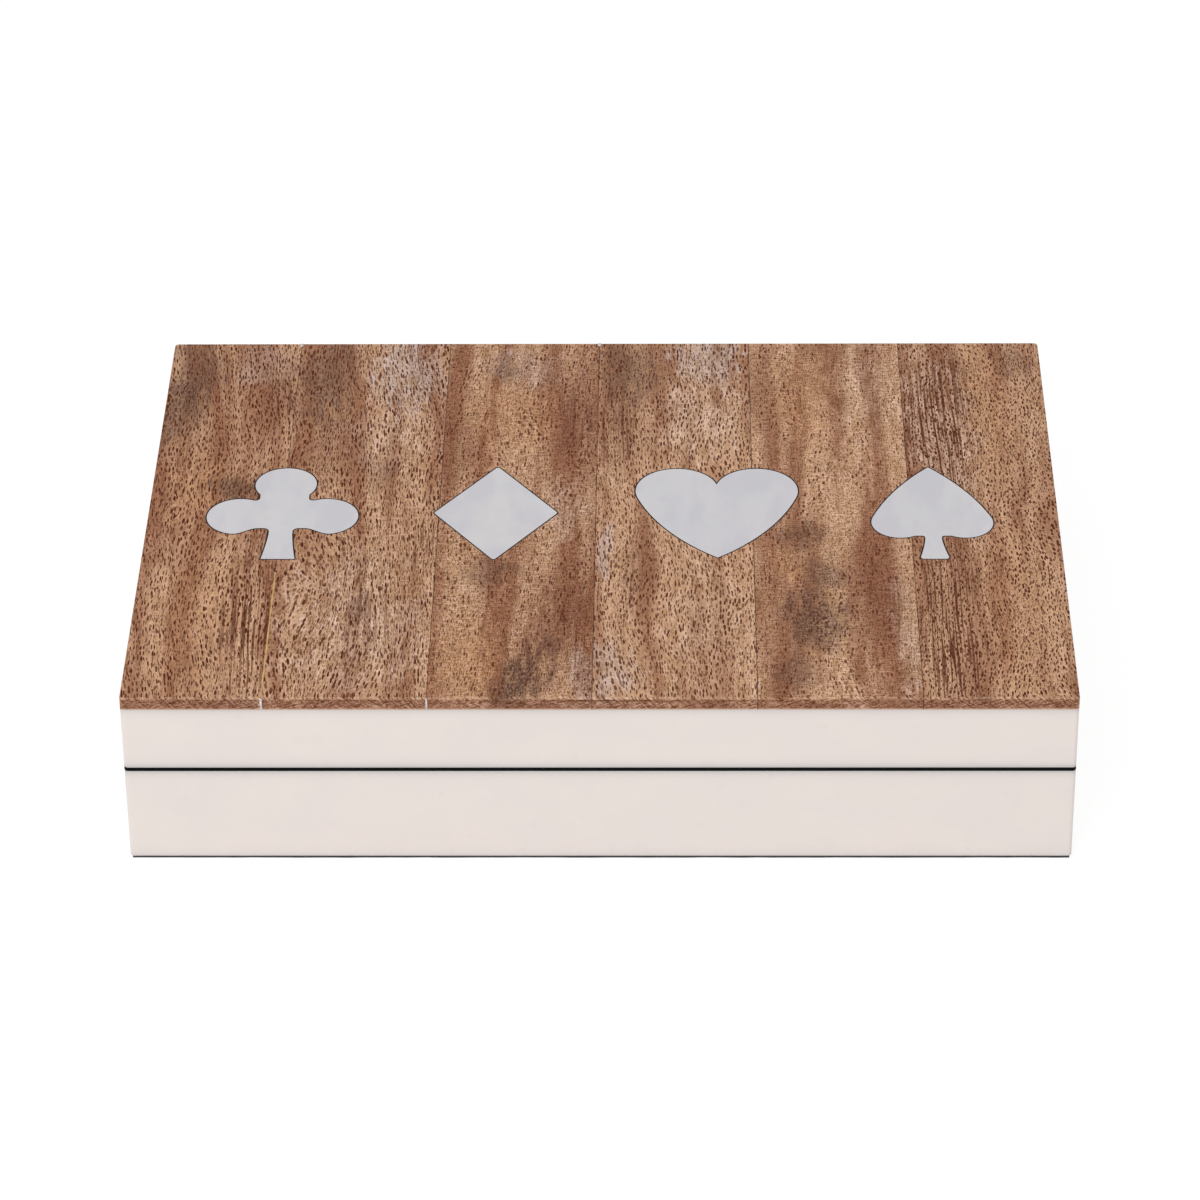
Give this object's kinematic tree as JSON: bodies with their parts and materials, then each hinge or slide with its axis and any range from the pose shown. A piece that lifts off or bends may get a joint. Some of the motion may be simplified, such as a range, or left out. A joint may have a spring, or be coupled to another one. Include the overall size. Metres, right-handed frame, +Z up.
{
  "type": "playing card box",
  "caption": "Flat hinged box for two decks of playing cards: cream resin sides, black seam, wood slat lid inlaid with the card suits, felt-lined wells.",
  "frame": {"origin": "middle of the underside, on the surface that the box stands on", "axes": "+X along the width to the right, +Y to the hinges at the back, +Z up; lid closed"},
  "size_m": [0.18, 0.13, 0.0374],
  "materials": {
    "slat_wood": "satin, open-pored",
    "inlay_resin": "polished",
    "inlay_glue": "matt",
    "cream_resin": "satin",
    "black_edging": "satin",
    "painted_board": "matt black paint",
    "underside_felt": "felt",
    "lining_felt": "felt",
    "hinge_brass": "drawn",
    "screw_brass": "turned"
  },
  "bodies": {
    "base": {"base_back_cladding": "cream_resin", "base_back_wall": "painted_board", "base_floor_board": "painted_board", "base_front_cladding": "cream_resin", "base_front_wall": "painted_board", "base_hinge_screws": "screw_brass", "base_left_cladding": "cream_resin", "base_left_wall": "painted_board", "base_right_cladding": "cream_resin", "base_right_wall": "painted_board", "base_rim_edging": "black_edging", "deck_divider": "painted_board", "hinge_left_base_leaf": "hinge_brass", "hinge_left_pin": "hinge_brass", "hinge_right_base_leaf": "hinge_brass", "hinge_right_pin": "hinge_brass", "left_well_lining": "lining_felt", "right_well_lining": "lining_felt", "underside_felt": "underside_felt"},
    "lid": {"club_inlay": "inlay_resin", "diamond_inlay": "inlay_resin", "heart_inlay": "inlay_resin", "hinge_left_lid_leaf": "hinge_brass", "hinge_right_lid_leaf": "hinge_brass", "inlay_glue_lines": "inlay_glue", "lid_back_cladding": "cream_resin", "lid_back_wall": "painted_board", "lid_board": "painted_board", "lid_front_cladding": "cream_resin", "lid_front_wall": "painted_board", "lid_hinge_screws": "screw_brass", "lid_left_cladding": "cream_resin", "lid_left_wall": "painted_board", "lid_lining": "lining_felt", "lid_right_cladding": "cream_resin", "lid_right_wall": "painted_board", "lid_rim_edging": "black_edging", "spade_inlay": "inlay_resin", "top_slat_1": "slat_wood", "top_slat_2": "slat_wood", "top_slat_3": "slat_wood", "top_slat_4": "slat_wood", "top_slat_5": "slat_wood", "top_slat_6": "slat_wood"}
  },
  "joints": [
    {"name": "lid_hinge", "type": "hinge", "parent": "base", "child": "lid", "pos_m": [0, 0.0633, 0.02105], "axis": [-1, 0, 0], "range_deg": [0, 100]}
  ]
}
